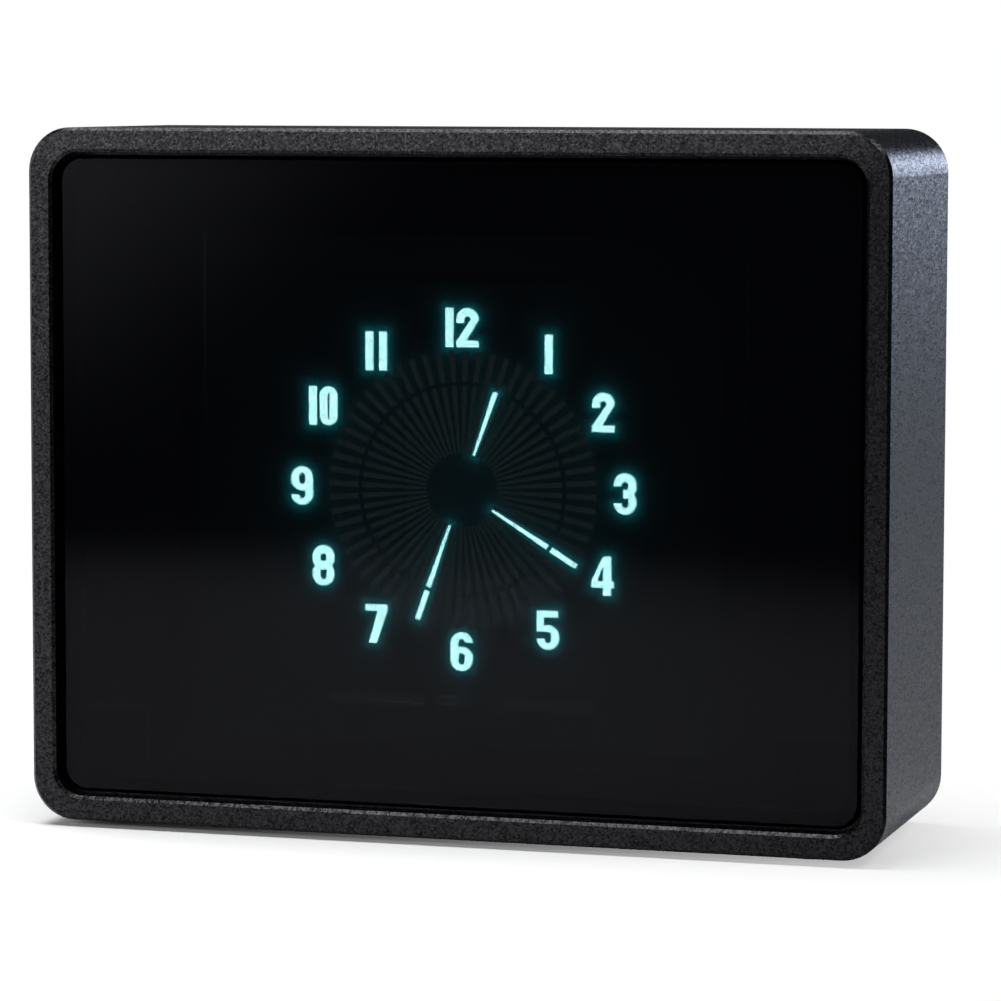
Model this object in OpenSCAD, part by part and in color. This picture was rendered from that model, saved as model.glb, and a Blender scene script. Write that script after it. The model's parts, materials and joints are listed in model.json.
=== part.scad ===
// Vacuum fluorescent clock: an aluminium desk case with a flush dark window, a flat display
// tube with a ring of numerals and a fan of hand segments, and two stacked boards behind it.
// Millimetres, +Z up, front towards -Y, origin on the table under the middle of the case.

/* [Case] */
// Width of the case
case_w = 100; // [94:1:130]
// Height of the case, without its feet
case_h = 79.4; // [71:0.1:100]
// Depth of the case
case_d = 32; // [29:0.5:45]
// Outer corner radius, seen from the front
corner_r = 5; // [3.5:0.5:8]
// Corner radius of the opening, seen from the front
opening_r = 3.2; // [2:0.1:3.4]
// Thickness of the case wall
wall = 2.8; // [2:0.1:3.2]
// Chamfer on the front and rear edges
edge_break = 0.35; // [0.2:0.05:0.5]
// Width of the ledge behind the window
ledge_w = 2.2; // [1.8:0.1:3]
// Thickness of the ledge
ledge_t = 1.5; // [1:0.1:2]
// Side of the corner blocks that carry the boards
block_w = 10; // [8:0.5:11]

/* [Feet] */
// Height of the case above the table
foot_stand = 0.8; // [0.5:0.1:3]
// Radius of a foot
foot_r = 4; // [3:0.5:6]
// Depth of the foot's seat in the case
foot_seat = 0.7; // [0.4:0.1:1.2]
// Distance between the feet, side to side
foot_span_x = 80; // [50:1:84]
// Distance between the feet, front to back
foot_span_y = 15; // [12:1:18]

/* [Window] */
// How far the window sits behind the front edge
window_recess = 1.6; // [0.8:0.1:2]
// Thickness of the window
window_t = 1.2; // [1:0.1:2]
// Gap all round the window
window_gap = 0.3; // [0.15:0.05:0.5]
// Bevel on the window's front edge
window_bevel = 0.45; // [0.2:0.05:0.7]
// Thickness of the bonding tape
tape_t = 0.25; // [0.1:0.05:0.5]
// Thickness of the black card round the tube
mask_t = 0.5; // [0.2:0.1:0.8]

/* [Display tube] */
// Height of the dial's centre above the middle of the case
dial_height = -0.8; // [-1.5:0.1:1]
// Width of the tube
tube_w = 66; // [58:1:70]
// Room for the leads between the tube and the opening, above and below
tube_edge = 5.8; // [4:0.1:9]
// Width of the tube's glass side frame
tube_wall = 2.5; // [1.5:0.1:3]
// Air gap between the window and the tube
tube_gap = 0.2; // [0.1:0.1:0.6]
// Thickness of the tube's front glass
front_glass_t = 1; // [0.8:0.1:1.6]
// Height of the evacuated space inside the tube
tube_space = 2.2; // [2.1:0.1:2.8]
// Thickness of the glass plate that carries the anodes
anode_plate_t = 1.8; // [1.2:0.1:2.2]
// Leads in each of the two rows
lead_count = 26; // [10:2:28]
// Spacing of the leads
lead_pitch = 2; // [1.5:0.1:2.1]
// Thickness of the foam behind the tube
pad_t = 1.8; // [1.2:0.1:2.2]

/* [Dial] */
// Half the width of the ring of numerals
ring_x = 19; // [17.5:0.1:21]
// Half the height of the ring of numerals
ring_z = 18.3; // [17.5:0.1:19.5]
// Extra angle of the numerals beside twelve and six
spread = 2.2; // [0:0.1:4]
// Height of a numeral
numeral_h = 4.4; // [4:0.1:5]
// Width of a numeral
numeral_w = 2.6; // [2.4:0.1:3]
// Width of the narrow zero in ten
zero_w = 2.1; // [2:0.05:2.6]
// Width of an upright stroke
stroke = 0.92; // [0.7:0.02:0.94]
// Height of a level stroke
level_stroke = 0.74; // [0.5:0.02:0.8]
// Gap between the two digits of a numeral
digit_gap = 0.36; // [0.2:0.02:0.6]
// Gap between the two ones of eleven
ones_gap = 0.7; // [0.4:0.02:1]
// Hand positions round the dial
spokes = 60; // [12:12:60]
// Radius where the hand segments start
spoke_start = 4.2; // [3.6:0.1:6]
// Radius of the gap between inner and outer segments
spoke_split = 12; // [9:0.1:13]
// Radius where the hand segments end
spoke_end = 15.7; // [14:0.1:16]
// Width of a hand segment at its inner end
spoke_tip_w = 0.25; // [0.15:0.01:0.3]
// Width of a hand segment at its outer end
spoke_root_w = 0.6; // [0.4:0.02:0.8]
// Turn of the fan of hand segments
fan_turn = 1.5; // [-3:0.5:3]
// Position of the lit hour segment
hour_spoke = 3; // [0:1:59]
// Position of the lit minute segments
minute_spoke = 33; // [0:1:59]
// Position of the lit second segments
second_spoke = 20; // [0:1:59]
// Thickness of the phosphor layer
phosphor_t = 0.1; // [0.05:0.01:0.2]

/* [Electrodes] */
// Height of the control grid above the anodes
grid_lift = 0.7; // [0.4:0.1:1]
// Thickness of the grid's sheet
grid_t = 0.08; // [0.05:0.01:0.15]
// Width of the grid's rim
grid_rim = 1; // [0.6:0.1:1.4]
// Strips across the grid
grid_strips = 22; // [10:2:30]
// Width of a grid strip
strip_w = 0.05; // [0.04:0.01:0.1]
// Height of the filaments above the anodes
filament_lift = 1.4; // [1.2:0.1:1.7]
// Radius of a filament
filament_r = 0.03; // [0.02:0.01:0.06]
// Thickness of the filament holders
holder_t = 0.3; // [0.2:0.05:0.5]
// Length of the oblong getter ring, to the middle of its wire
getter_l = 2.4; // [1.6:0.1:4]
// Radius of the getter ring's ends, to the middle of its wire
getter_r = 0.45; // [0.35:0.05:0.7]
// Radius of the getter ring's wire
getter_wire_r = 0.2; // [0.1:0.01:0.25]

/* [Boards] */
// Thickness of a circuit board
board_t = 1.6; // [1:0.1:1.8]
// Gap between the boards and the case walls
board_gap = 1.6; // [1:0.1:2]
// Room behind the control board, up to the rear cover
rear_room = 7; // [6.5:0.1:9]
// Height of the header's body
header_h = 2.5; // [2:0.1:3]
// Header pins in each of its two rows
header_pins_n = 10; // [4:1:14]
// Distance across the flats of a standoff
standoff_af = 5; // [4.5:0.1:5.5]
// Radius of a screw thread
thread_r = 1.2; // [1:0.05:1.4]
// Radial clearance round a thread in its tapped hole
thread_gap = 0.05; // [0.02:0.01:0.1]
// Radial clearance round a screw in a plain hole
screw_gap = 0.2; // [0.1:0.05:0.4]
// Length of thread in a tapped hole
thread_l = 4; // [3:0.1:4.4]

/* [Rear] */
// Depth of the rear cover below the rear rim
rear_recess = 1.2; // [0.9:0.1:1.6]
// Thickness of the rear cover
cover_t = 2; // [1.6:0.1:2.4]
// Gap round the rear cover
cover_gap = 0.2; // [0.1:0.05:0.4]
// Radius of the countersunk screw heads
head_r = 2.3; // [2:0.05:2.6]
// Spacing of the buttons
button_pitch = 14; // [11:0.5:20]
// Height of the buttons above the middle of the case
button_rise = 20; // [14:0.5:24]
// Radius of a button cap
button_r = 2.5; // [2:0.1:3]
// Gap round a button cap
button_gap = 0.25; // [0.15:0.05:0.5]
// How far a button stands out of the cover
button_proud = 0.8; // [0.4:0.1:0.8]
// Travel of a button
button_travel = 0.3; // [0.2:0.05:0.35]
// Height of a switch body
switch_h = 3.5; // [3:0.1:4]
// Height of the power socket above the underside of the case
usb_height = 14; // [11:0.5:20]

/* [Hidden] */
$fn = 48;

// Small overlap that lets a cut pass a face
cut = 1;

// Depths, from front to back
front_y = -case_d / 2;
back_y = case_d / 2;
window_y = front_y + window_recess;
window_back = window_y + window_t;
ledge_y = window_back + tape_t;
ledge_back = ledge_y + ledge_t;
tube_y = window_back + tube_gap;
space_y = tube_y + front_glass_t;
anode_y = space_y + tube_space;
tube_back = anode_y + anode_plate_t;
display_y = tube_back + pad_t;
display_back = display_y + board_t;
cover_back = back_y - rear_recess;
cover_y = cover_back - cover_t;
control_back = cover_y - rear_room;
control_y = control_back - board_t;
board_space = control_y - display_back;

// Heights and outlines
base_z = foot_stand;
mid_z = base_z + case_h / 2;
dial_z = mid_z + dial_height;
opening_w = case_w - 2 * wall;
opening_h = case_h - 2 * wall;
pane_w = opening_w - 2 * window_gap;
pane_h = opening_h - 2 * window_gap;
pane_r = opening_r - window_gap;
board_w = opening_w - 2 * board_gap;
board_h = opening_h - 2 * board_gap;
column_x = opening_w / 2 - block_w / 2;
column_z = opening_h / 2 - block_w / 2;
tape_inset = 0.2;
tape_w = ledge_w - window_gap - tape_inset;
mask_gap = 0.3;
foot_gap = 0.1;

// The tube
tube_h = opening_h - 2 * tube_edge;
inner_w = tube_w - 2 * tube_wall;
inner_h = tube_h - 2 * tube_wall;
spoke_gap = 0.5;
segment_r = [[spoke_start, spoke_split - spoke_gap / 2], [spoke_split + spoke_gap / 2, spoke_end]];
lit = [[hour_spoke, 0], [minute_spoke, 0], [minute_spoke, 1], [second_spoke, 0], [second_spoke, 1]];
grid_margin = 3.7;
grid_w = 2 * (ring_x + grid_margin);
grid_h = 2 * (ring_z + grid_margin);
grid_y = anode_y - grid_lift;
filament_near = 6.5;
filament_far = 13.5;
filament_x = [-filament_far, -filament_near, filament_near, filament_far];
filament_y = anode_y - filament_lift;
holder_gap = 2.2;
holder_z = grid_h / 2 + holder_gap;
holder_foot = 1.2;
holder_tail = 2;
getter_x = -1.25;
getter_z = getter_r - holder_z;
getter_lift = 1.2;

// Leads of the tube
lead_w = 0.5;
lead_t = 0.25;
lead_run = 1.5;
lead_tail = 1.2;
lead_hole_r = 0.45;
tip_r = 2.2;
tip_l = 2.4;
tip_x = 26;
tip_z = -24;
tip_gap = 0.8;

// Fasteners
tap_r = thread_r + thread_gap;
hole_r = thread_r + screw_gap;
tap_room = 0.5;
tap_depth = thread_l + tap_room;
head_h = 1.1;
head_gap = 0.06;
drive_r = 0.9;
drive_depth = 0.9;

// Pin header between the boards
pin_pitch = 2.54;
pin_w = 0.64;
pin_gap = 0.03;
socket_h = board_space - header_h;
socket_floor = 1.4;
pin_room = 0.6;
pin_reach = socket_h - socket_floor - pin_room;
header_w = 2 * pin_pitch;
header_l = header_pins_n * pin_pitch;
header_drop = 22;

// Pieces on the boards; an inset is measured from the end of the board
chip_w = 7.5;
chip_t = 2.3;
module_w = 18;
module_h = 25.5;
module_t = 0.8;
module_inset = 21.9;
module_drop = 2;
power_drop = 22.5;
clock_inset = 15.9;
clock_rise = 16;

function board_end(inset) = board_w / 2 - inset;

// Buttons and their switches
switch_w = 6;
plunger_r = 1.7;
plunger_gap = 0.12;
plunger_out = 1;
plunger_in = 1;
plunger_room = 0.3;
flange_r = 3.4;
flange_t = 1.2;
button_z = mid_z + button_rise;
cap_y = control_back + switch_h + plunger_out;
mark_w = 0.6;
mark_l = 3;
mark_depth = 0.2;
mark_rise = 6;

// Power socket
usb_w = 8.94;
usb_h = 3.26;
usb_wall = 0.3;
usb_gap = 0.27;
usb_setback = 0.1;
usb_base = 2.2;
usb_tongue_w = 6.7;
usb_tongue_t = 0.7;
usb_tongue_back = 0.8;
usb_seat_gap = 0.03;
usb_z = base_z + usb_height;

// Outline of a rectangle with round corners
module rounded(w, h, r) {
  square([w - 2 * r, h], center = true);
  square([w, h - 2 * r], center = true);
  for (x = [-1, 1], z = [-1, 1]) translate([x * (w / 2 - r), z * (h / 2 - r)]) circle(r);
}

// A front-view outline, drawn in x and z, made solid from y0 back by t
module upright(y0, t) {
  translate([0, y0 + t, 0]) rotate([90, 0, 0]) linear_extrude(t) children();
}

// A side-view outline, drawn in y and z, made solid from x0 to the right by l
module sideways(x0, l) {
  translate([x0, 0, 0]) rotate([90, 0, 90]) linear_extrude(l) children();
}

// Cylinder or cone from y0 back by l
module rod(x, z, y0, l, r, r_end) {
  translate([x, y0, z]) rotate([-90, 0, 0]) cylinder(h = l, r1 = r, r2 = r_end == undef ? r : r_end);
}

// Box on a board or plate, centred in x and z
module brick(x, z, y0, size) {
  translate([x - size[0] / 2, y0, z - size[2] / 2]) cube(size);
}

// Slab c deep whose face at y = 0 is bevelled in by c all round
module bevel_slab(w, h, r, c) {
  for (x = [-1, 1], z = [-1, 1]) rod(x * (w / 2 - r), z * (h / 2 - r), 0, c, r - c, r);
  translate([0, 0, r - h / 2]) linear_extrude(h - 2 * r)
    polygon([[c - w / 2, 0], [w / 2 - c, 0], [w / 2, c], [-w / 2, c]]);
  sideways(r - w / 2, w - 2 * r)
    polygon([[0, c - h / 2], [0, h / 2 - c], [c, h / 2], [c, -h / 2]]);
}

// Places children at the four columns that stack the boards
module at_columns() {
  for (x = [-1, 1], z = [-1, 1]) translate([x * column_x, 0, mid_z + z * column_z]) children();
}

module at_switches() {
  for (i = [-1, 0, 1]) translate([i * button_pitch, 0, button_z]) children();
}

// Case

module case_block() {
  translate([0, front_y, mid_z]) bevel_slab(case_w, case_h, corner_r, edge_break);
  translate([0, 0, mid_z]) upright(front_y + edge_break, case_d - 2 * edge_break)
    rounded(case_w, case_h, corner_r);
  translate([0, back_y, mid_z]) mirror([0, 1, 0]) bevel_slab(case_w, case_h, corner_r, edge_break);
}

// Bevel cut round the mouth of the opening
module opening_bevel() {
  bevel_slab(opening_w + 2 * edge_break, opening_h + 2 * edge_break, opening_r + edge_break, edge_break);
}

module corner_blocks() {
  intersection() {
    rounded(opening_w + wall, opening_h + wall, opening_r + wall / 2);
    for (x = [-1, 1], z = [-1, 1])
      translate([x * (column_x + wall / 2), z * (column_z + wall / 2)])
        square(block_w + wall, center = true);
  }
}

module case_body() {
  color("#3f4043") difference() {
    union() {
      difference() {
        case_block();
        translate([0, 0, mid_z]) upright(front_y - cut, case_d + 2 * cut)
          rounded(opening_w, opening_h, opening_r);
        translate([0, front_y + edge_break, mid_z]) mirror([0, 1, 0]) opening_bevel();
        translate([0, back_y - edge_break, mid_z]) opening_bevel();
      }
      translate([0, 0, mid_z]) upright(ledge_y, ledge_t) difference() {
        rounded(opening_w + wall, opening_h + wall, opening_r + wall / 2);
        rounded(opening_w - 2 * ledge_w, opening_h - 2 * ledge_w, opening_r);
      }
      translate([0, 0, mid_z]) upright(ledge_y, display_y - ledge_y) corner_blocks();
    }
    at_columns() rod(0, 0, display_y - tap_depth, tap_depth + cut, tap_r);
    at_feet() translate([0, 0, base_z - cut]) cylinder(h = foot_seat + cut, r = foot_r + foot_gap);
  }
}

module at_feet() {
  for (x = [-1, 1], y = [-1, 1]) translate([x * foot_span_x / 2, y * foot_span_y / 2, 0]) children();
}

module rubber_feet() {
  color("#1b1b1c") at_feet() cylinder(h = foot_stand + foot_seat, r = foot_r);
}

module front_window() {
  color("#0c0d0f") {
    translate([0, window_y, mid_z]) bevel_slab(pane_w, pane_h, pane_r, window_bevel);
    translate([0, 0, mid_z]) upright(window_y + window_bevel, window_t - window_bevel)
      rounded(pane_w, pane_h, pane_r);
  }
}

module window_tape() {
  color("#101010") translate([0, 0, mid_z]) upright(window_back, tape_t) difference() {
    rounded(pane_w, pane_h, pane_r);
    rounded(pane_w - 2 * tape_w, pane_h - 2 * tape_w, pane_r);
  }
}

// Black card on the back of the ledge, cut out for the tube and the corner blocks
module display_mask() {
  color("#121212") upright(ledge_back, mask_t) difference() {
    translate([0, mid_z]) {
      square([opening_w - 2 * mask_gap, opening_h - 2 * (block_w + mask_gap)], center = true);
      square([opening_w - 2 * (block_w + mask_gap), opening_h - 2 * mask_gap], center = true);
    }
    translate([0, dial_z]) square([tube_w + 2 * mask_gap, tube_h + 2 * mask_gap], center = true);
  }
}

// Display tube

module tube_front_glass() {
  color("#20262a") brick(0, dial_z, tube_y, [tube_w, front_glass_t, tube_h]);
}

module tube_side_frame() {
  color("#2a2f33") translate([0, 0, dial_z]) upright(space_y, tube_space) difference() {
    square([tube_w, tube_h], center = true);
    square([inner_w, inner_h], center = true);
  }
}

module tube_anode_plate() {
  color("#0d0f10") brick(0, dial_z, anode_y, [tube_w, anode_plate_t, tube_h]);
}

module tube_exhaust_tip() {
  color("#5d666b") {
    rod(tip_x, dial_z + tip_z, tube_back, tip_l, tip_r);
    translate([tip_x, tube_back + tip_l, dial_z + tip_z]) intersection() {
      sphere(tip_r);
      brick(0, 0, 0, [2 * tip_r, tip_r, 2 * tip_r]);
    }
  }
}

function lead_x(i) = (i - (lead_count - 1) / 2) * lead_pitch;

// One bent lead of the upper row, from the seal back through the display board
module lead(x) {
  top = tube_h / 2;
  sideways(x - lead_w / 2, lead_w) polygon([
    [anode_y - lead_t, top], [anode_y - lead_t, top + lead_run],
    [display_back + lead_tail, top + lead_run], [display_back + lead_tail, top + lead_run - lead_t],
    [anode_y, top + lead_run - lead_t], [anode_y, top]
  ]);
}

module tube_leads() {
  color("#b4b6b8") translate([0, 0, dial_z]) for (row = [0, 1], i = [0 : lead_count - 1])
    mirror([0, 0, row]) lead(lead_x(i));
}

module control_grid() {
  color("#34383a") translate([0, 0, dial_z]) {
    upright(grid_y - grid_t, grid_t) {
      difference() {
        square([grid_w, grid_h], center = true);
        square([grid_w - 2 * grid_rim, grid_h - 2 * grid_rim], center = true);
      }
      for (i = [1 : grid_strips])
        translate([(i / (grid_strips + 1) - 0.5) * (grid_w - 2 * grid_rim), 0])
          square([strip_w, grid_h - grid_rim], center = true);
    }
    for (x = [-1, 1], z = [-1, 1])
      brick(x * (grid_w - grid_rim) / 2, z * (grid_h - grid_rim) / 2, grid_y - grid_t,
        [grid_rim, grid_lift + grid_t, grid_rim]);
  }
}

module cathode_filaments() {
  color("#7d7f80") translate([0, filament_y, dial_z - holder_z])
    for (x = filament_x) translate([x, 0, 0]) cylinder(h = 2 * holder_z, r = filament_r);
}

// Foot and blade of a filament holder at the top of the tube, drawn in y and z
module holder_foot_profile() {
  translate([anode_y - holder_t, holder_z + holder_t - holder_foot]) square([holder_t, holder_foot]);
}

module holder_blade_profile() {
  rise = filament_lift + 2 * holder_t;
  translate([anode_y - rise, holder_z]) square([rise, holder_t]);
}

// Two stiff holders at the bottom, with room for the getter between them
module filament_anchors() {
  l = filament_x[3] - filament_x[2] + 2 * holder_tail;
  color("#8d9092") translate([0, 0, dial_z]) mirror([0, 0, 1])
    for (x0 = [filament_x[0], filament_x[2]]) sideways(x0 - holder_tail, l) {
      holder_foot_profile();
      holder_blade_profile();
    }
}

// One bar at the top whose fingers keep the filaments tight
module filament_spring_bar() {
  finger_w = 1.6;
  l = filament_x[3] - filament_x[0] + 2 * holder_tail;
  color("#8d9092") translate([0, 0, dial_z]) {
    sideways(filament_x[0] - holder_tail, l) holder_foot_profile();
    for (x = filament_x) sideways(x - finger_w / 2, finger_w) holder_blade_profile();
  }
}

// An oblong ring of wire, held off the plate by a strip
module getter_ring() {
  strip = 0.6;
  run = getter_l / 2 - getter_r;
  color("#9a9c9d") translate([getter_x, anode_y - getter_lift, dial_z + getter_z]) {
    for (side = [-1, 1]) {
      translate([side * run, 0, 0]) rotate([90, 90 * side, 0])
        rotate_extrude(angle = 180) translate([getter_r, 0]) circle(getter_wire_r);
      translate([-run, 0, side * getter_r]) rotate([0, 90, 0]) cylinder(r = getter_wire_r, h = 2 * run);
    }
    brick(0, -getter_r, 0, [strip, getter_lift, 2 * getter_wire_r]);
  }
}

// Dial: a numeral is drawn flat, with its lower left corner at the origin, and stood up later

// Upright slot with round ends
module slot(x0, z0, x1, z1) {
  r = (x1 - x0) / 2;
  translate([x0, z0 + r]) square([2 * r, z1 - z0 - 2 * r]);
  for (z = [z0 + r, z1 - r]) translate([x0 + r, z]) circle(r);
}

// One stroke of a digit, as thick as the phosphor
module ink() {
  linear_extrude(phosphor_t) children();
}

// Closed stroke round a slot-shaped counter
module loop(z0, z1, w = numeral_w) {
  ink() difference() {
    slot(0, z0, w, z1);
    slot(stroke, z0 + level_stroke, w - stroke, z1 - level_stroke);
  }
}

// Opening cut through a stroke
module opening(x, z, w, h) {
  translate([x, z, -cut]) cube([w, h, phosphor_t + 2 * cut]);
}

// Underside of an eight's waist, and the top of its lower bowl
waist = 0.46 * numeral_h;
bowl = waist + level_stroke;
// Underside of the mouth cut into the bowl of a three or five
mouth = 0.28 * numeral_h;
// Overlap of the strokes that make one digit
lap = 0.05;

module digit_0() {
  loop(0, numeral_h, zero_w);
}

module digit_1() {
  ink() square([stroke, numeral_h]);
}

module digit_2() {
  r = numeral_w / 2;
  neck = numeral_h - r;
  hook = 0.4;
  slant_w = 1.25 * stroke;
  ink() translate([r, neck]) difference() {
    circle(r);
    circle(r - stroke);
    translate([-r - cut, -r - cut - lap]) square([2 * (r + cut), r + cut]);
  }
  ink() translate([0, neck - hook]) square([stroke, hook]);
  ink() polygon([[numeral_w - stroke, neck], [numeral_w, neck], [slant_w, level_stroke - lap],
    [lap, level_stroke - lap]]);
  ink() square([numeral_w, level_stroke]);
}

module digit_3() {
  mouth_top = 0.72 * numeral_h;
  mouth_w = 0.42 * numeral_w;
  difference() {
    digit_8();
    opening(-cut, mouth, mouth_w + cut, mouth_top - mouth);
  }
}

module digit_4() {
  bar_r = numeral_w - 0.35 * stroke;
  bar_l = bar_r - stroke;
  low = 0.2 * numeral_h;
  high = low + level_stroke;
  slant_w = 0.72 * stroke;
  counter_top = 0.78 * numeral_h;
  ink() translate([bar_l, 0]) square([stroke, numeral_h]);
  ink() translate([0, low]) square([numeral_w, level_stroke]);
  ink() difference() {
    polygon([[0, low], [0, high], [bar_l, numeral_h], [bar_r, numeral_h], [bar_r, low]]);
    polygon([[slant_w, high], [bar_l, high], [bar_l, counter_top]]);
  }
}

module digit_5() {
  flag_w = 0.95 * numeral_w;
  stem_w = 0.9 * stroke;
  mouth_w = 0.45 * numeral_w;
  ink() translate([0, numeral_h - level_stroke]) square([flag_w, level_stroke]);
  ink() translate([0, waist]) square([stem_w, numeral_h - waist]);
  difference() {
    loop(0, bowl);
    opening(-cut, mouth, mouth_w + cut, waist - mouth);
  }
}

module digit_6() {
  mouth_top = 0.74 * numeral_h;
  loop(0, bowl);
  difference() {
    loop(0, numeral_h);
    opening(numeral_w / 2, waist, numeral_w, mouth_top - waist);
  }
}

module digit_7() {
  foot = 0.16 * numeral_w;
  ink() translate([0, numeral_h - level_stroke]) square([numeral_w, level_stroke]);
  ink() polygon([[numeral_w - stroke, numeral_h], [numeral_w, numeral_h],
    [numeral_w, numeral_h - level_stroke], [foot + stroke, 0], [foot, 0]]);
}

module digit_8() {
  loop(0, bowl);
  loop(waist, numeral_h);
}

module digit_9() {
  translate([numeral_w, numeral_h, 0]) rotate(180) digit_6();
}

module digit(n) {
  if (n == 0) digit_0();
  if (n == 1) digit_1();
  if (n == 2) digit_2();
  if (n == 3) digit_3();
  if (n == 4) digit_4();
  if (n == 5) digit_5();
  if (n == 6) digit_6();
  if (n == 7) digit_7();
  if (n == 8) digit_8();
  if (n == 9) digit_9();
}

function digit_w(n) = n == 1 ? stroke : n == 0 ? zero_w : numeral_w;

// One hour's numeral, centred on the origin
module numeral(hour) {
  units = hour % 10;
  tens_w = hour < 10 ? 0 : stroke + (units == 1 ? ones_gap : digit_gap);
  left = -(tens_w + digit_w(units)) / 2;
  if (hour >= 10) translate([left, -numeral_h / 2, 0]) digit_1();
  translate([left + tens_w, -numeral_h / 2, 0]) digit(units);
}

// Angle of an hour from twelve, with those beside twelve and six spread a little
function hour_angle(hour) = 30 * hour
  + spread * (hour == 1 || hour == 7 ? 1 : hour == 5 || hour == 11 ? -1 : 0);

module dial_numerals() {
  color("#cffff8") translate([0, anode_y, dial_z]) rotate([90, 0, 0]) for (hour = [1 : 12])
    translate([ring_x * sin(hour_angle(hour)), ring_z * cos(hour_angle(hour)), 0]) numeral(hour);
}

function spoke_w(r) = spoke_tip_w
  + (spoke_root_w - spoke_tip_w) * min((r - spoke_start) / (spoke_split - spoke_start), 1);

// One wedge-shaped hand segment; part 0 is the inner one and part 1 the outer one
module segment(position, part) {
  r0 = segment_r[part][0];
  r1 = segment_r[part][1];
  translate([0, 0, dial_z]) upright(anode_y - phosphor_t, phosphor_t)
    rotate(-360 / spokes * position - fan_turn) polygon([
      [-spoke_w(r0) / 2, r0], [spoke_w(r0) / 2, r0], [spoke_w(r1) / 2, r1], [-spoke_w(r1) / 2, r1]
    ]);
}

function is_lit(position, part) = len([for (l = lit) if (l == [position, part]) l]) > 0;

module dial_spokes() {
  color("#1c2022") for (position = [0 : spokes - 1], part = [0, 1])
    if (!is_lit(position, part)) segment(position, part);
}

module hour_segment() {
  color("#cffff8") segment(hour_spoke, 0);
}

module minute_segments() {
  color("#cffff8") for (part = [0, 1]) segment(minute_spoke, part);
}

module second_segments() {
  color("#cffff8") for (part = [0, 1]) segment(second_spoke, part);
}

// Boards and what they carry

module tube_pads() {
  pad_w = 6;
  pad_h = 40;
  pad_x = 18;
  color("#222222") for (x = [-1, 1]) brick(x * pad_x, dial_z, tube_back, [pad_w, pad_t, pad_h]);
}

module board(y0) {
  difference() {
    brick(0, mid_z, y0, [board_w, board_t, board_h]);
    at_columns() rod(0, 0, y0 - cut, board_t + 2 * cut, hole_r);
  }
}

module display_board() {
  row_z = tube_h / 2 + lead_run - lead_t / 2;
  color("#14301f") difference() {
    board(display_y);
    rod(tip_x, dial_z + tip_z, display_y - cut, board_t + 2 * cut, tip_r + tip_gap);
    for (i = [0 : lead_count - 1], z = [-row_z, row_z])
      rod(lead_x(i), dial_z + z, display_y - cut, board_t + 2 * cut, lead_hole_r);
  }
}

module driver_chips() {
  chip_l = 18;
  chip_inset = 21.9;
  chip_rise = 12;
  color("#1a1a1c") for (x = [-1, 1])
    brick(x * board_end(chip_inset), mid_z + chip_rise, display_back, [chip_l, chip_t, chip_w]);
}

// Places children at each pin of the header between the boards
module at_pins() {
  for (i = [0 : header_pins_n - 1], row = [-0.5, 0.5])
    translate([(i - (header_pins_n - 1) / 2) * pin_pitch, 0, mid_z - header_drop + row * pin_pitch])
      children();
}

module pin_holes(y0, l) {
  side = pin_w + 2 * pin_gap;
  at_pins() brick(0, 0, y0, [side, l, side]);
}

module board_socket() {
  hole_l = pin_reach + pin_room;
  color("#1d1d1f") difference() {
    brick(0, mid_z - header_drop, display_back, [header_l, socket_h, header_w]);
    pin_holes(display_back + socket_h - hole_l, hole_l + cut);
  }
}

module board_header() {
  color("#1d1d1f") difference() {
    brick(0, mid_z - header_drop, control_y - header_h, [header_l, header_h, header_w]);
    pin_holes(control_y - header_h - cut, header_h + 2 * cut);
  }
}

module header_pins() {
  l = pin_reach + header_h;
  color("#c9b26a") at_pins() brick(0, 0, control_y - l, [pin_w, l, pin_w]);
}

// Hexagonal spacer with a screw thread at its front and a tapped hole at its back
module standoff(y0, l) {
  rod(0, 0, y0 - board_t - thread_l, board_t + thread_l, thread_r);
  difference() {
    translate([0, y0, 0]) rotate([-90, 0, 0]) cylinder(h = l, r = standoff_af / 2 / cos(30), $fn = 6);
    rod(0, 0, y0 + l - tap_depth, tap_depth + cut, tap_r);
  }
}

module front_standoffs() {
  color("#c2a45a") at_columns() standoff(display_back, board_space);
}

module control_board() {
  color("#14301f") board(control_y);
}

module rear_standoffs() {
  color("#c2a45a") at_columns() standoff(control_back, cover_y - control_back);
}

module controller_module() {
  color("#16241c") brick(-board_end(module_inset), mid_z - module_drop, control_back,
    [module_w, module_t, module_h]);
}

module module_shield() {
  can_w = 16;
  can_h = 17.6;
  can_t = 2.4;
  can_drop = 2.5;
  color("#b7b9bb") brick(-board_end(module_inset), mid_z - module_drop - can_drop,
    control_back + module_t, [can_w, can_t, can_h]);
}

// Coin cell on a floor plate between two end walls, under a spring clip
cell_inset = 21.9;
cell_drop = 2;
cell_r = 6.25;
cell_t = 2;
cell_floor = 0.7;
cell_gap = 0.2;
cell_end = 1.2;
clip_t = 0.25;
clip_w = 5;
cell_frame_w = 2 * (cell_r + cell_gap + cell_end);

module cell_holder() {
  depth = 11;
  color("#232325") translate([board_end(cell_inset), control_back, mid_z - cell_drop]) {
    brick(0, 0, 0, [cell_frame_w, cell_floor, depth]);
    for (x = [-1, 1])
      brick(x * (cell_frame_w - cell_end) / 2, 0, 0, [cell_end, cell_floor + cell_t, depth]);
  }
}

module coin_cell() {
  color("#c5c7c8")
    rod(board_end(cell_inset), mid_z - cell_drop, control_back + cell_floor, cell_t, cell_r);
}

module cell_clip() {
  color("#a9abac") brick(board_end(cell_inset), mid_z - cell_drop, control_back + cell_floor + cell_t,
    [cell_frame_w, clip_t, clip_w]);
}

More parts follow.
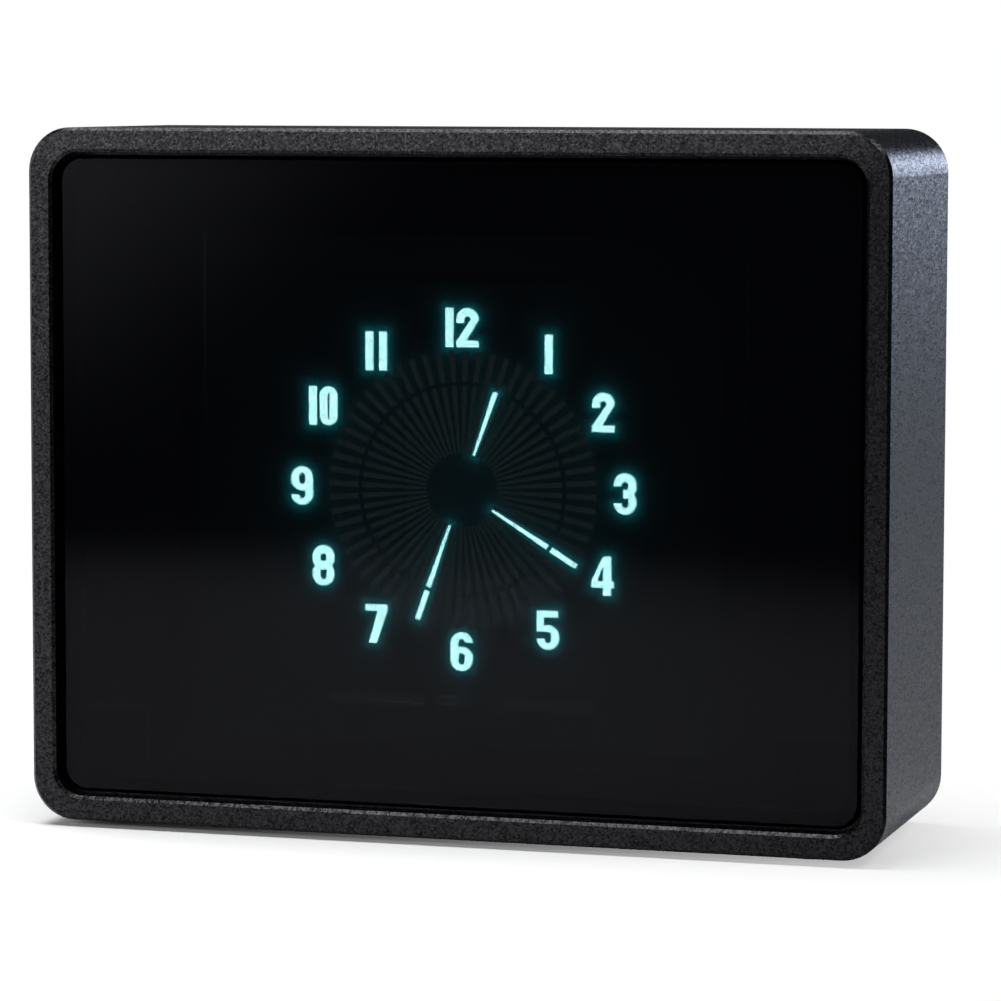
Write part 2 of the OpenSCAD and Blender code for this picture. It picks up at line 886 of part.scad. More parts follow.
module boost_inductor() {
  inductor_w = 7.3;
  inductor_h = 4.5;
  inductor_r = 1;
  inductor_inset = 23.9;
  color("#2c2d2f") translate([board_end(inductor_inset), 0, mid_z - power_drop])
    upright(control_back, inductor_h) rounded(inductor_w, inductor_w, inductor_r);
}

module filter_capacitors() {
  can_r = 3.15;
  can_h = 4.8;
  base_w = 6.6;
  base_h = 0.6;
  can_pitch = 9;
  can_inset = 15.9;
  color("#a6a8aa") for (i = [0, 1])
    translate([i * can_pitch - board_end(can_inset), control_back, mid_z - power_drop]) {
      brick(0, 0, 0, [base_w, base_h, base_w]);
      rod(0, 0, base_h, can_h, can_r);
    }
}

module regulator_chip() {
  regulator_w = 6.5;
  regulator_h = 3.5;
  regulator_t = 1.6;
  regulator_inset = 12.9;
  color("#1a1a1c") brick(board_end(regulator_inset), mid_z - power_drop, control_back,
    [regulator_w, regulator_t, regulator_h]);
}

module clock_chip() {
  chip_l = 10.3;
  color("#1a1a1c") brick(board_end(clock_inset), mid_z + clock_rise, control_back,
    [chip_l, chip_t, chip_w]);
}

module crystal_can() {
  crystal_w = 3.2;
  crystal_h = 1.5;
  crystal_t = 0.9;
  crystal_gap = 1.5;
  crystal_rise = clock_rise + (chip_w + crystal_h) / 2 + crystal_gap;
  color("#c5c7c8") brick(board_end(clock_inset), mid_z + crystal_rise, control_back,
    [crystal_w, crystal_t, crystal_h]);
}

// Power socket: level slot outline, w long and h high, centred on the origin
module level_slot(w, h) {
  square([w - h, h], center = true);
  for (x = [-1, 1]) translate([x * (w - h) / 2, 0]) circle(h / 2);
}

module usb_shell() {
  color("#b2b4b6") translate([0, 0, usb_z]) upright(control_back, cover_back - usb_setback - control_back)
    difference() {
      level_slot(usb_w, usb_h);
      level_slot(usb_w - 2 * usb_wall, usb_h - 2 * usb_wall);
    }
}

module usb_tongue() {
  inset = 2 * (usb_wall + usb_seat_gap);
  color("#161617") translate([0, 0, usb_z]) {
    upright(control_back, usb_base) level_slot(usb_w - inset, usb_h - inset);
    brick(0, 0, control_back,
      [usb_tongue_w, cover_back - usb_tongue_back - control_back, usb_tongue_t]);
  }
}

// Buttons and switches

module switch_bodies() {
  well = plunger_in + button_travel + plunger_room;
  color("#202022") at_switches() difference() {
    brick(0, 0, control_back, [switch_w, switch_h, switch_w]);
    rod(0, 0, control_back + switch_h - well, well + cut, plunger_r + plunger_gap);
  }
}

module plunger(i) {
  color("#8c8d8f") rod(i * button_pitch, button_z, cap_y - plunger_out - plunger_in,
    plunger_out + plunger_in, plunger_r);
}

module button_cap(i) {
  dome = 0.3;
  face_y = cover_back + button_proud;
  color("#2b2c2e") {
    rod(i * button_pitch, button_z, cap_y, flange_t, flange_r);
    rod(i * button_pitch, button_z, cap_y, face_y - dome - cap_y, button_r);
    rod(i * button_pitch, button_z, face_y - dome, dome, button_r, button_r - dome);
  }
}

module minus_plunger() {
  plunger(1);
}

module set_plunger() {
  plunger(0);
}

module plus_plunger() {
  plunger(-1);
}

module minus_button() {
  button_cap(1);
}

module set_button() {
  button_cap(0);
}

module plus_button() {
  button_cap(-1);
}

// Rear

// Minus, ring and plus marks over the three buttons
module marks() {
  translate([button_pitch, button_z + mark_rise]) square([mark_l, mark_w], center = true);
  translate([0, button_z + mark_rise]) difference() {
    circle(mark_l / 2);
    circle(mark_l / 2 - mark_w);
  }
  translate([-button_pitch, button_z + mark_rise]) {
    square([mark_l, mark_w], center = true);
    square([mark_w, mark_l], center = true);
  }
}

module rear_cover() {
  sink_r = head_r + head_gap;
  color("#2e2f31") difference() {
    translate([0, 0, mid_z]) upright(cover_y, cover_t)
      rounded(opening_w - 2 * cover_gap, opening_h - 2 * cover_gap, opening_r - cover_gap);
    at_columns() {
      rod(0, 0, cover_y - cut, cover_t + 2 * cut, hole_r);
      rod(0, 0, cover_back - head_h, head_h, sink_r - head_r + thread_r, sink_r);
    }
    at_switches() rod(0, 0, cover_y - cut, cover_t + 2 * cut, button_r + button_gap);
    translate([0, 0, usb_z]) upright(cover_y - cut, cover_t + 2 * cut)
      level_slot(usb_w + 2 * usb_gap, usb_h + 2 * usb_gap);
    upright(cover_back - mark_depth, mark_depth + cut) marks();
  }
}

// Countersunk screws with a hexagonal drive, through the cover into the rear standoffs
module rear_screws() {
  color("#3a3b3d") at_columns() difference() {
    union() {
      rod(0, 0, cover_y - thread_l, thread_l + cover_t - head_h, thread_r);
      rod(0, 0, cover_back - head_h, head_h, thread_r, head_r);
    }
    translate([0, cover_back - drive_depth, 0]) rotate([-90, 0, 0])
      cylinder(h = drive_depth + cut, r = drive_r, $fn = 6);
  }
}

case_body();
front_window();
window_tape();
display_mask();
rubber_feet();
tube_front_glass();
tube_side_frame();
tube_anode_plate();
tube_exhaust_tip();
tube_leads();
control_grid();
cathode_filaments();
filament_anchors();
filament_spring_bar();
getter_ring();
dial_numerals();
dial_spokes();
hour_segment();
minute_segments();
second_segments();
tube_pads();
display_board();
driver_chips();
board_socket();
board_header();
header_pins();
front_standoffs();
control_board();
rear_standoffs();
controller_module();
module_shield();
cell_holder();
coin_cell();
cell_clip();
boost_inductor();
filter_capacitors();
regulator_chip();
clock_chip();
crystal_can();
usb_shell();
usb_tongue();
switch_bodies();
minus_plunger();
set_plunger();
plus_plunger();
minus_button();
set_button();
plus_button();
rear_cover();
rear_screws();
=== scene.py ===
"""Looks of a vacuum fluorescent desk clock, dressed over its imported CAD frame."""

import json
import math

import bmesh
import bpy
from mathutils import Matrix, Vector
from mathutils.bvhtree import BVHTree


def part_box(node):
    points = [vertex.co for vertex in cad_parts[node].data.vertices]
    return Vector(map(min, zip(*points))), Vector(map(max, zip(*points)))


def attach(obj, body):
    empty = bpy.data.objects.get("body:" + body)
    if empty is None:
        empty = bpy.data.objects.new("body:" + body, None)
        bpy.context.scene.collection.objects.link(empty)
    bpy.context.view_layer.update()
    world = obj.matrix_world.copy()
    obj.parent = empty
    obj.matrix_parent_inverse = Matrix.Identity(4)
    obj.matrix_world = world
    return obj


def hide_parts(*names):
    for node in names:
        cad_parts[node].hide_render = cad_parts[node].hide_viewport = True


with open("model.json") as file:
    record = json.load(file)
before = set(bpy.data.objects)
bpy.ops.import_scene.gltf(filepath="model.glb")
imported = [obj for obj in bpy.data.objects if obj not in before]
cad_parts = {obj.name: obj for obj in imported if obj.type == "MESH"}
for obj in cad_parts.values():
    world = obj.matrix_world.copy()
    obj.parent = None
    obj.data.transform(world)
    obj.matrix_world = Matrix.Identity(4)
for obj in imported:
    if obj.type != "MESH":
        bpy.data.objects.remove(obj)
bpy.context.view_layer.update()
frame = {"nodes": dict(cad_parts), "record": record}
NODES = frame["nodes"]
MM = 0.001

# Camera, as fitted to the case's outline: a long lens a little to the right and above
CAMERA_AIM_X = 6.21 * MM
CAMERA_AIM_RISE = 38.42 * MM
CAMERA_DISTANCE = 481.4 * MM
CAMERA_YAW = math.radians(16.672)
CAMERA_PITCH = math.radians(5.46)
CAMERA_ROLL = math.radians(-0.12)
CAMERA_LENS = 156.2
CAMERA_SENSOR = 36
CAMERA_CLIP = (0.01, 20)

# The span of a noise texture that gives a finish its dark to its light specks
NOISE_LOW = 0.3
NOISE_HIGH = 0.7

# The case: its outer corner radius, the fall of its front frame toward the outline, and its grains:
# their size, the squeeze that draws them out along the extrusion, and their tilt, which is most that way
CASE_CORNER = 5 * MM
CASE_FALL = 0.035
CASE_GRAIN = 0.2 * MM
CASE_SQUEEZE = (1, 0.3, 1)
CASE_TILT = Vector((0.1, 0.22, 0.1))

# Sizes of the marks on glass and phosphor: wiping streaks, waves of the sheet, powder and print grains
WIPE_SIZE = 18 * MM
WAVE_SIZE = 12 * MM
POWDER_SIZE = 0.6 * MM
PRINT_SIZE = 0.4 * MM

# Painted glow on the anode plate: emission that stands in for the light spreading from the lit phosphor and
# from the fan of hands:
# the mm in which it falls to a third, its strength and its colour
GLOW_CELL = 0.25 * MM
PAINTED_GLOWS = (
    ("lit", 0.38, 1.2, "#10EEFF"),
    ("lit", 1.9, 0.074, "#10EEFF"),
    ("lit", 10.0, 0.01, "#A0E7FF"),
    ("fan", 0.9, 0.059, "#90DCF4"),
)

# The paper under the clock, which fades out at its rim and beside the clock's right
FLOOR_CENTRE = (-0.11, -0.1, 0)
FLOOR_RADIUS = 0.25
FLOOR_SEGMENTS = 96
FLOOR_FADE = 0.11
FLOOR_RIGHT = 0.05
FLOOR_RIGHT_END = 0.075

# The white backdrop: its core and edge angle in degrees, and the sines of the heights where it starts
# to end and has ended
BACKDROP_CORE = 9.5
BACKDROP_EDGE = 14
BACKDROP_TOP = 0.025
BACKDROP_END = 0.09

# The dim room: its lower and upper tone, and the sines of the heights between which they change
ROOM_TONES = ("#686E78", "#3A3C40")
ROOM_LOW = -0.05
ROOM_HIGH = 0.12

# Soft windows and glows of the room: turn from the clock's back and rise, core and edge angle, all in
# degrees, then strength and tint
WINDOWS = (
    (-148, 11, 3, 19, 5.0, "#FFFFFF"),
    (15, 6, 2, 9, 7.2, "#CBD6F0"),
    (17, -13, 2, 11, 0.5, "#FFFFFF"),
    (-68, 14, 8, 34, 0.8, "#FFFFFF"),
)

# White softboxes: name, place and aim, width and height, watts
SOFTBOXES = (
    ("overhead_softbox", (-0.15, -0.06, 0.78), (0, 0, 0), 0.56, 0.46, 6.2),
    ("right_softbox", (0.52, -0.08, 0.68), (0.05, 0, 0.05), 0.3, 0.3, 2.2),
    ("front_softbox", (-0.24, -0.92, 0.33), (0, 0, 0.04), 0.36, 0.14, 2.3),
)


def linear(code):
    """An sRGB hex colour as linear RGBA."""
    parts = [int(code[i:i + 2], 16) / 255 for i in (1, 3, 5)]
    return [p / 12.92 if p <= 0.04045 else ((p + 0.055) / 1.055) ** 2.4 for p in parts] + [1.0]


def add(tree, kind, inputs=None, **settings):
    """Adds a node; an input takes a value, or a socket that is wired to it."""
    made = tree.nodes.new(kind)
    for name, value in settings.items():
        setattr(made, name, value)
    for name, value in (inputs or {}).items():
        if isinstance(value, bpy.types.NodeSocket):
            tree.links.new(value, made.inputs[name])
        else:
            made.inputs[name].default_value = value
    return made


def new_material(name):
    """A material without a shader, its node tree, and the place on the piece."""
    material = bpy.data.materials.new(name)
    material.use_nodes = True
    tree = material.node_tree
    tree.nodes.clear()
    return material, tree, add(tree, "ShaderNodeTexCoord").outputs["Object"]


def finish(name, tones, grain, relief, roughness, **sockets):
    """A solid finish whose grain, in mm, varies its tone and gloss and stands relief mm high."""
    material, tree, place = new_material(name)
    noise = add(tree, "ShaderNodeTexNoise", {"Vector": place, "Scale": 1 / (grain * MM), "Detail": 3.0})
    speck = add(tree, "ShaderNodeMapRange", {
        "Value": noise.outputs["Fac"], "From Min": NOISE_LOW, "From Max": NOISE_HIGH})
    tone = add(tree, "ShaderNodeMixRGB", {
        "Fac": speck.outputs["Result"], "Color1": linear(tones[0]), "Color2": linear(tones[1])})
    gloss = add(tree, "ShaderNodeMapRange", {
        "Value": speck.outputs["Result"], "To Min": roughness[0], "To Max": roughness[1]})
    bump = add(tree, "ShaderNodeBump", {"Height": speck.outputs["Result"], "Distance": relief * MM})
    shader = add(tree, "ShaderNodeBsdfPrincipled", {
        "Base Color": tone.outputs["Color"], "Roughness": gloss.outputs["Result"],
        "Normal": bump.outputs["Normal"], **sockets})
    add(tree, "ShaderNodeOutputMaterial", {"Surface": shader.outputs["BSDF"]})
    return material


def blasted_aluminium():
    """Aluminium, extruded, blasted and anodised graphite: dark satin of fine grains that tilt and glint."""
    material, tree, place = new_material("blasted_anodised_aluminium")
    # The grains are drawn out along the extrusion, from front to back
    drawn = add(tree, "ShaderNodeVectorMath", {0: place, 1: CASE_SQUEEZE}, operation="MULTIPLY")
    grains = add(tree, "ShaderNodeTexVoronoi", {"Vector": drawn.outputs["Vector"], "Scale": 1 / CASE_GRAIN})
    chance = add(tree, "ShaderNodeSeparateColor", {0: grains.outputs["Color"]}).outputs
    tone = add(tree, "ShaderNodeMixRGB", {
        "Fac": chance[0], "Color1": linear("#0F0F10"), "Color2": linear("#303032")})
    gloss = add(tree, "ShaderNodeMapRange", {"Value": chance[1], "To Min": 0.24, "To Max": 0.36})
    # Blasting rounds the front frame a little: it falls away toward the rounded outline
    low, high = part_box("case_body")
    straight = (high - low) / 2 - Vector([CASE_CORNER] * 3)
    centred = add(tree, "ShaderNodeVectorMath", {0: place, 1: (low + high) / 2}, operation="SUBTRACT")
    folded = add(tree, "ShaderNodeVectorMath", {0: centred.outputs["Vector"]}, operation="ABSOLUTE")
    beyond = add(tree, "ShaderNodeVectorMath", {
        0: folded.outputs["Vector"], 1: straight}, operation="SUBTRACT")
    outer = add(tree, "ShaderNodeVectorMath", {0: beyond.outputs["Vector"]}, operation="MAXIMUM")
    front = add(tree, "ShaderNodeVectorMath", {
        0: outer.outputs["Vector"], 1: (1, 0, 1)}, operation="MULTIPLY")
    reach = add(tree, "ShaderNodeVectorMath", {0: front.outputs["Vector"]}, operation="LENGTH")
    fall = add(tree, "ShaderNodeMath", {0: reach.outputs["Value"], 1: -CASE_FALL}, operation="MULTIPLY")
    crown = add(tree, "ShaderNodeBump", {"Height": fall.outputs[0], "Distance": 1.0})
    tilt = add(tree, "ShaderNodeVectorMath", {
        0: grains.outputs["Color"], 1: CASE_TILT, 2: -CASE_TILT / 2}, operation="MULTIPLY_ADD")
    leant = add(tree, "ShaderNodeVectorMath", {0: crown.outputs["Normal"], 1: tilt.outputs["Vector"]})
    facet = add(tree, "ShaderNodeVectorMath", {0: leant.outputs["Vector"]}, operation="NORMALIZE")
    shader = add(tree, "ShaderNodeBsdfPrincipled", {
        "Base Color": tone.outputs["Color"], "Metallic": 1.0, "Roughness": gloss.outputs["Result"],
        "Normal": facet.outputs["Vector"]})
    add(tree, "ShaderNodeOutputMaterial", {"Surface": shader.outputs["BSDF"]})
    return material


def smoked_glass():
    """Grey float glass with a low-reflection coat: near black, with a weak mirror of the room."""
    material, tree, place = new_material("smoked_coated_float_glass")
    wipe = add(tree, "ShaderNodeTexNoise", {"Vector": place, "Scale": 1 / WIPE_SIZE, "Detail": 2.0})
    gloss = add(tree, "ShaderNodeMapRange", {
        "Value": wipe.outputs["Fac"], "From Min": NOISE_LOW, "From Max": NOISE_HIGH,
        "To Min": 0.03, "To Max": 0.06})
    shader = add(tree, "ShaderNodeBsdfPrincipled", {
        "Base Color": linear("#4E5152"), "Roughness": gloss.outputs["Result"], "IOR": 1.21,
        "Transmission Weight": 1.0, "Specular Tint": linear("#D8D8E6")})
    add(tree, "ShaderNodeOutputMaterial", {"Surface": shader.outputs["BSDF"]})
    return material


def tube_glass():
    """Clear soda-lime sheet, sealed with frit: faintly green and almost unseen."""
    material, tree, place = new_material("sealed_soda_lime_glass")
    wave = add(tree, "ShaderNodeTexNoise", {"Vector": place, "Scale": 1 / WAVE_SIZE, "Detail": 1.0})
    gloss = add(tree, "ShaderNodeMapRange", {"Value": wave.outputs["Fac"], "To Min": 0.01, "To Max": 0.03})
    shader = add(tree, "ShaderNodeBsdfPrincipled", {
        "Base Color": linear("#EEF4F2"), "Roughness": gloss.outputs["Result"], "IOR": 1.5,
        "Transmission Weight": 1.0})
    add(tree, "ShaderNodeOutputMaterial", {"Surface": shader.outputs["BSDF"]})
    return material


def lit_phosphor():
    """Zinc oxide powder, screen printed and lit by electrons: an even, near-white cyan glow."""
    material, tree, place = new_material("lit_printed_zinc_oxide_phosphor")
    grain = add(tree, "ShaderNodeTexNoise", {"Vector": place, "Scale": 1 / POWDER_SIZE, "Detail": 2.0})
    glow = add(tree, "ShaderNodeMixRGB", {
        "Fac": grain.outputs["Fac"], "Color1": linear("#98FCF6"), "Color2": linear("#EAFFFF")})
    shader = add(tree, "ShaderNodeBsdfPrincipled", {
        "Base Color": linear("#7C8583"), "Roughness": 0.9, "Emission Color": glow.outputs["Color"],
        "Emission Strength": 15.0})
    add(tree, "ShaderNodeOutputMaterial", {"Surface": shader.outputs["BSDF"]})
    return material


def anode_glass():
    """Black insulating print on glass, with a painted glow: emission that stands in for the light spreading
    from the phosphor beside it.
    """
    material, tree, place = new_material("black_printed_anode_glass_painted_glow")
    grain = add(tree, "ShaderNodeTexNoise", {"Vector": place, "Scale": 1 / PRINT_SIZE, "Detail": 2.0})
    tone = add(tree, "ShaderNodeMixRGB", {
        "Fac": grain.outputs["Fac"], "Color1": linear("#060708"), "Color2": linear("#0D0E10")})
    glow = linear("#000000")
    # Painted glow: emission that fades with the distance from the lit phosphor and from the fan of hands
    for source, distance, strength, tint in PAINTED_GLOWS:
        reach = add(tree, "ShaderNodeAttribute", attribute_name=source + "_reach").outputs["Fac"]
        drop = add(tree, "ShaderNodeMath", {0: reach, 1: -1 / distance}, operation="MULTIPLY")
        fall = add(tree, "ShaderNodeMath", {0: drop.outputs[0]}, operation="EXPONENT")
        level = add(tree, "ShaderNodeMath", {0: fall.outputs[0], 1: strength}, operation="MULTIPLY")
        light = add(tree, "ShaderNodeMixRGB", {
            "Fac": 1.0, "Color1": level.outputs[0], "Color2": linear(tint)}, blend_type="MULTIPLY")
        glow = add(tree, "ShaderNodeMixRGB", {
            "Fac": 1.0, "Color1": light.outputs["Color"], "Color2": glow},
            blend_type="ADD").outputs["Color"]
    shader = add(tree, "ShaderNodeBsdfPrincipled", {
        "Base Color": tone.outputs["Color"], "Roughness": 0.6, "Emission Color": glow,
        "Emission Strength": 1.0})
    add(tree, "ShaderNodeOutputMaterial", {"Surface": shader.outputs["BSDF"]})
    return material


FINISHES = {
    "graphite_aluminium": blasted_aluminium(),
    "smoked_glass": smoked_glass(),
    # Acrylic foam tape, slit from a roll: dead matt black
    "black_tape": finish("slit_acrylic_foam_tape", ("#0A0A0B", "#151516"), 0.4, 0.02, (0.85, 0.95)),
    # Black card, calendered and die cut: matt with a soft fibre mottle
    "black_card": finish("die_cut_black_card", ("#08090A", "#101112"), 0.6, 0.01, (0.8, 0.95)),
    "tube_glass": tube_glass(),
    "anode_glass": anode_glass(),
    "lit_phosphor": lit_phosphor(),
    # The same powder unlit: a grey-green dust film, with a faint painted glow that stands in for the room
    # light that shows it
    "unlit_phosphor": finish("unlit_printed_zinc_oxide_phosphor_painted_glow", ("#4A5254", "#5E6668"), 0.3, 0.005,
                             (0.85, 0.95), **{
                                 "Emission Color": linear("#C4F0F4"), "Emission Strength": 0.15}),
    # Nickel-iron wire and foil, etched and hydrogen fired: dull dark grey metal
    "electrode_metal": finish("fired_nickel_iron", ("#46484A", "#5C5F62"), 0.25, 0.001, (0.3, 0.42),
                              Metallic=1.0),
    # Glass-epoxy board under a dark green solder mask: glossy, with the weave just showing
    "board_laminate": finish("solder_masked_glass_epoxy", ("#0B1F14", "#13301F"), 0.5, 0.01,
                             (0.28, 0.42)),
    # Filled epoxy, transfer moulded: charcoal with a fine matt skin
    "chip_epoxy": finish("moulded_filled_epoxy", ("#161618", "#212124"), 0.2, 0.008, (0.55, 0.7)),
    # Nylon, injection moulded: soft black sheen
    "black_nylon": finish("moulded_black_nylon", ("#131315", "#1E1E20"), 0.35, 0.006, (0.42, 0.55)),
    # Brass, turned and left bright: warm metal with fine tool marks
    "brass": finish("turned_bright_brass", ("#A98A45", "#CDB06A"), 0.2, 0.003, (0.22, 0.36), Metallic=1.0),
    # Steel, tin plated: bright cool metal
    "plated_steel": finish("tin_plated_steel", ("#A5A7A9", "#C9CBCC"), 0.4, 0.002, (0.2, 0.34),
                           Metallic=1.0),
    # Acetal, injection moulded: waxy mid grey
    "grey_acetal": finish("moulded_grey_acetal", ("#6E6F72", "#808184"), 0.5, 0.004, (0.38, 0.5)),
    # ABS, moulded in a spark-eroded tool: even matt pebble
    "black_abs": finish("spark_textured_black_abs", ("#1D1E20", "#2A2B2D"), 0.35, 0.03, (0.5, 0.64)),
    # Steel, black oxide: oily charcoal metal
    "black_screw": finish("black_oxide_steel", ("#2A2B2D", "#3D3E41"), 0.2, 0.004, (0.3, 0.44),
                          Metallic=1.0),
    # Silicone rubber, moulded: dusty matt black
    "feet_rubber": finish("moulded_silicone_rubber", ("#141415", "#202022"), 0.5, 0.02, (0.75, 0.9)),
}

# Three pieces of electrode metal have a finish of their own
OWN_FINISHES = {
    # The control grid's mesh is too fine to draw: its strips stand for it, and let most light through
    "control_grid": finish("etched_grid_mesh", ("#3C3E40", "#55585A"), 0.25, 0.002, (0.35, 0.5),
                           Metallic=1.0, Alpha=0.04),
    # Nickel wire, drawn bright: the getter glints
    "getter_ring": finish("drawn_bright_nickel", ("#E2E0DA", "#F0EEE8"), 0.2, 0.001, (0.2, 0.3),
                          Metallic=1.0),
    # Nickel strip, rolled: the filament holders catch the light of the numerals beside them
    "filament_anchors": finish("rolled_nickel_strip", ("#A2A4A6", "#B8BABC"), 0.25, 0.001, (0.32, 0.44),
                               Metallic=1.0),
}


def dress_nodes():
    """Gives each CAD node the finish of its slot in the record, or its own."""
    for subpart in frame["record"]["subparts"]:
        mesh = NODES[subpart["node"]].data
        mesh.materials.clear()
        mesh.materials.append(FINISHES[subpart["material_slot"]])
    for node, own in OWN_FINISHES.items():
        NODES[node].data.materials[0] = own


def lit_faces():
    """A search tree of every lit face, to measure how far the painted glow around it spreads."""
    corners, faces = [], []
    for subpart in frame["record"]["subparts"]:
        if subpart["material_slot"] == "lit_phosphor":
            mesh = NODES[subpart["node"]].data
            first = len(corners)
            corners += [v.co.copy() for v in mesh.vertices]
            faces += [[first + i for i in p.vertices] for p in mesh.polygons]
    return BVHTree.FromPolygons(corners, faces)


def glow_reaches(points):
    """How far each vertex of the anode plate lies from the lit faces and from the fan of hands."""
    lit = lit_faces()
    low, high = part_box("dial_spokes")
    hub = (low + high) / 2

    def radii(vertices):
        return [math.hypot(v.co.x - hub.x, v.co.z - hub.z) for v in vertices]

    # The fan has an inner and an outer ring of segments, with a dark ring between them
    inner_end = max(radii(NODES["hour_segment"].data.vertices))
    ends = radii(NODES["dial_spokes"].data.vertices)
    outer_start, outer_end = min(r for r in ends if r > inner_end + GLOW_CELL), max(ends)
    return {
        "lit": [lit.find_nearest(v.co)[3] for v in points],
        "fan": [max(r - outer_end, min(r - inner_end, outer_start - r), 0) for r in radii(points)]}


def anode_plate():
    """The anode plate again, with a fine front face that carries the painted glow."""
    low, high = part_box("tube_anode_plate")
    size = high - low
    middle = (low + high) / 2
    work = bmesh.new()
    bmesh.ops.create_grid(
        work, x_segments=round(size.x / GLOW_CELL), y_segments=round(size.z / GLOW_CELL), size=0.5)
    stand = Matrix.Translation((middle.x, low.y, middle.z)) @ Matrix.Rotation(math.radians(90), 4, "X")
    bmesh.ops.transform(work, matrix=stand @ Matrix.Diagonal((size.x, size.z, 1, 1)), verts=work.verts)
    rim = [e for e in work.edges if e.is_boundary]
    sides = bmesh.ops.extrude_edge_only(work, edges=rim)["geom"]
    back = [v for v in sides if isinstance(v, bmesh.types.BMVert)]
    bmesh.ops.translate(work, verts=back, vec=(0, size.y, 0))
    bmesh.ops.holes_fill(work, edges=[e for e in work.edges if e.is_boundary])
    bmesh.ops.recalc_face_normals(work, faces=work.faces)
    mesh = bpy.data.meshes.new("anode_plate")
    work.to_mesh(mesh)
    work.free()
    for source, distances in glow_reaches(mesh.vertices).items():
        reach = mesh.attributes.new(source + "_reach", "FLOAT", "POINT")
        reach.data.foreach_set("value", [d / MM for d in distances])
    mesh.materials.append(FINISHES["anode_glass"])
    plate = bpy.data.objects.new("anode_plate", mesh)
    bpy.context.scene.collection.objects.link(plate)
    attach(plate, "clock")
    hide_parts("tube_anode_plate")


def studio_floor():
    """White paper under the clock, which fades out at its rim and beside the clock's right."""
    work = bmesh.new()
    bmesh.ops.create_circle(work, cap_ends=True, segments=FLOOR_SEGMENTS, radius=FLOOR_RADIUS)
    mesh = bpy.data.meshes.new("studio_floor")
    work.to_mesh(mesh)
    work.free()
    floor = bpy.data.objects.new("studio_floor", mesh)
    floor.location = FLOOR_CENTRE
    bpy.context.scene.collection.objects.link(floor)
    material, tree, place = new_material("white_studio_paper")
    radius = add(tree, "ShaderNodeVectorMath", {0: place}, operation="LENGTH").outputs["Value"]
    fade = add(tree, "ShaderNodeMapRange", {
        "Value": radius, "From Min": FLOOR_FADE, "From Max": FLOOR_RADIUS},
        interpolation_type="SMOOTHSTEP")
    across = add(tree, "ShaderNodeSeparateXYZ", {0: place}).outputs["X"]
    beside = add(tree, "ShaderNodeMapRange", {
        "Value": across, "From Min": FLOOR_RIGHT - FLOOR_CENTRE[0],
        "From Max": FLOOR_RIGHT_END - FLOOR_CENTRE[0]}, interpolation_type="SMOOTHSTEP")
    gone = add(tree, "ShaderNodeMath", {0: fade.outputs["Result"], 1: beside.outputs["Result"]},
               operation="MAXIMUM")
    paper = add(tree, "ShaderNodeBsdfPrincipled", {
        "Base Color": linear("#FAFAFA"), "Roughness": 0.9, "Specular IOR Level": 0.1})
    clear = add(tree, "ShaderNodeBsdfTransparent")
    mixed = add(tree, "ShaderNodeMixShader", {
        0: gone.outputs[0], 1: paper.outputs["BSDF"], 2: clear.outputs["BSDF"]})
    add(tree, "ShaderNodeOutputMaterial", {"Surface": mixed.outputs["Shader"]})
    mesh.materials.append(material)


def camera_axes():
    """The camera's forward, right and up directions."""
    forward = Vector((-math.sin(CAMERA_YAW) * math.cos(CAMERA_PITCH),
                      math.cos(CAMERA_YAW) * math.cos(CAMERA_PITCH), -math.sin(CAMERA_PITCH)))
    level = Vector((math.cos(CAMERA_YAW), math.sin(CAMERA_YAW), 0))
    down = forward.cross(level)
    right = math.cos(CAMERA_ROLL) * level + math.sin(CAMERA_ROLL) * down
    return forward, right, right.cross(forward)


def aimed(turn, rise):
    """The direction turned to the right of the clock's back, and raised, in degrees."""
    turn, rise = math.radians(turn), math.radians(rise)
    return Vector((math.sin(turn) * math.cos(rise), math.cos(turn) * math.cos(rise), math.sin(rise)))


def spot(tree, look, centre, core, edge, strength=1.0):
    """The level of a round patch of light about a direction, full to its core and gone at its edge."""
    facing = add(tree, "ShaderNodeVectorMath", {0: look, 1: centre}, operation="DOT_PRODUCT")
    return add(tree, "ShaderNodeMapRange", {
        "Value": facing.outputs["Value"], "From Min": math.cos(math.radians(edge)),
        "From Max": math.cos(math.radians(core)), "To Max": strength},
        interpolation_type="SMOOTHSTEP").outputs["Result"]


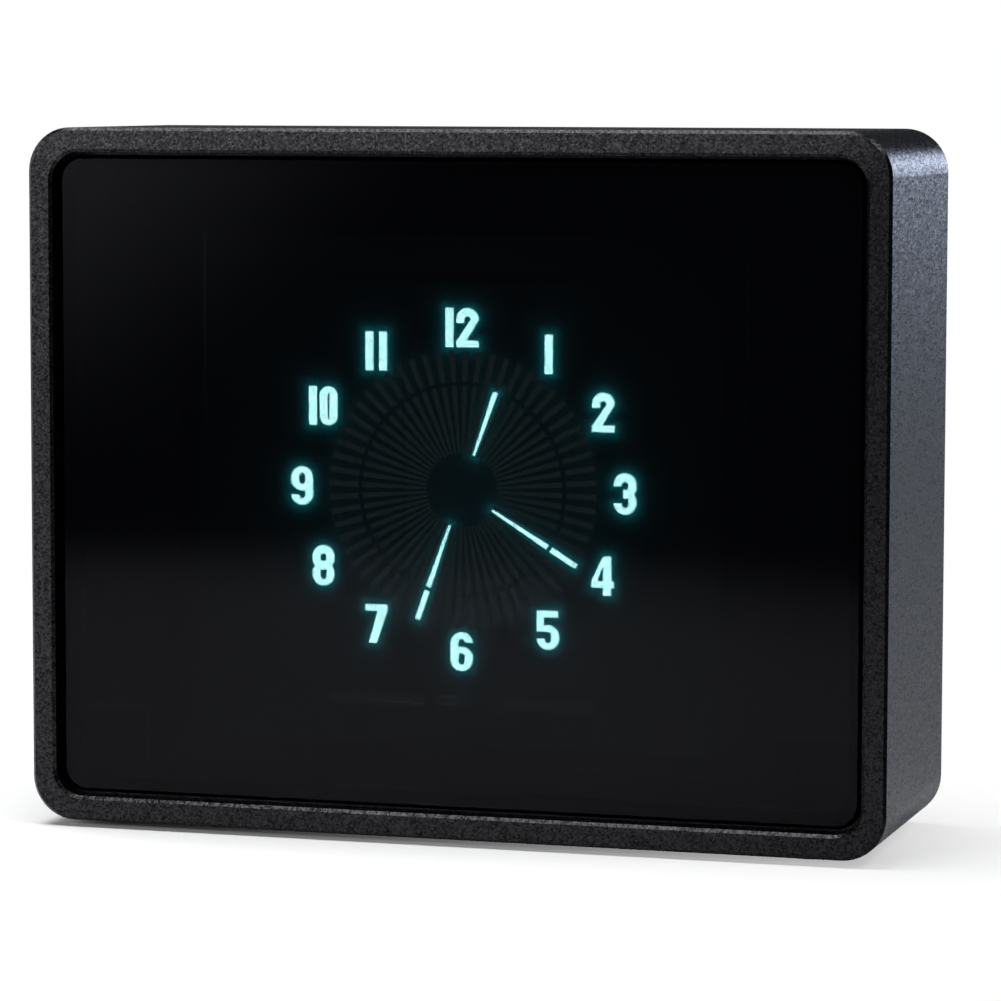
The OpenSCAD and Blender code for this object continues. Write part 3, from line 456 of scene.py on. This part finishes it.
def studio_world():
    """A dim room with a white backdrop behind the clock and four soft windows and glows."""
    world = bpy.data.worlds.new("studio")
    world.use_nodes = True
    bpy.context.scene.world = world
    tree = world.node_tree
    tree.nodes.clear()
    look = add(tree, "ShaderNodeTexCoord").outputs["Generated"]
    height = add(tree, "ShaderNodeSeparateXYZ", {0: look}).outputs["Z"]
    upper = add(tree, "ShaderNodeMapRange", {
        "Value": height, "From Min": ROOM_LOW, "From Max": ROOM_HIGH}, interpolation_type="SMOOTHSTEP")
    room = add(tree, "ShaderNodeMixRGB", {
        "Fac": upper.outputs["Result"], "Color1": linear(ROOM_TONES[0]), "Color2": linear(ROOM_TONES[1])})
    below = add(tree, "ShaderNodeMapRange", {
        "Value": height, "From Min": BACKDROP_END, "From Max": BACKDROP_TOP},
        interpolation_type="SMOOTHSTEP")
    ahead = spot(tree, look, camera_axes()[0], BACKDROP_CORE, BACKDROP_EDGE)
    backdrop = add(tree, "ShaderNodeMath", {0: ahead, 1: below.outputs["Result"]}, operation="MULTIPLY")
    colour = add(tree, "ShaderNodeMixRGB", {
        "Fac": backdrop.outputs[0], "Color1": room.outputs["Color"], "Color2": linear("#FFFFFF")})
    for turn, rise, core, edge, strength, tint in WINDOWS:
        level = spot(tree, look, aimed(turn, rise), core, edge, strength)
        light = add(tree, "ShaderNodeMixRGB", {
            "Fac": 1.0, "Color1": level, "Color2": linear(tint)}, blend_type="MULTIPLY")
        colour = add(tree, "ShaderNodeMixRGB", {
            "Fac": 1.0, "Color1": colour.outputs["Color"], "Color2": light.outputs["Color"]},
            blend_type="ADD")
    shade = add(tree, "ShaderNodeBackground", {"Color": colour.outputs["Color"], "Strength": 1.0})
    add(tree, "ShaderNodeOutputWorld", {"Surface": shade.outputs["Background"]})


def studio_lamps():
    """Rectangular soft lights, each turned from its place to its aim."""
    for name, place, aim, width, height, watts in SOFTBOXES:
        lamp = bpy.data.lights.new(name, "AREA")
        lamp.shape = "RECTANGLE"
        lamp.size, lamp.size_y = width, height
        lamp.energy = watts
        holder = bpy.data.objects.new(name, lamp)
        holder.location = place
        holder.rotation_euler = (Vector(aim) - Vector(place)).to_track_quat("-Z", "Y").to_euler()
        bpy.context.scene.collection.objects.link(holder)


def studio_camera():
    """The camera, at its distance from a point on the case's front."""
    forward, right, up = camera_axes()
    case_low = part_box("case_body")[0]
    aim = Vector((CAMERA_AIM_X, case_low.y, case_low.z + CAMERA_AIM_RISE))
    lens = bpy.data.cameras.new("camera")
    lens.lens, lens.sensor_width = CAMERA_LENS, CAMERA_SENSOR
    lens.clip_start, lens.clip_end = CAMERA_CLIP
    camera = bpy.data.objects.new("camera", lens)
    turn = Matrix((right, up, -forward)).transposed().to_4x4()
    camera.matrix_world = Matrix.Translation(aim - forward * CAMERA_DISTANCE) @ turn
    bpy.context.scene.collection.objects.link(camera)
    bpy.context.scene.camera = camera


dress_nodes()
anode_plate()
studio_floor()
studio_world()
studio_lamps()
studio_camera()
bpy.context.scene.view_settings.view_transform = "Standard"
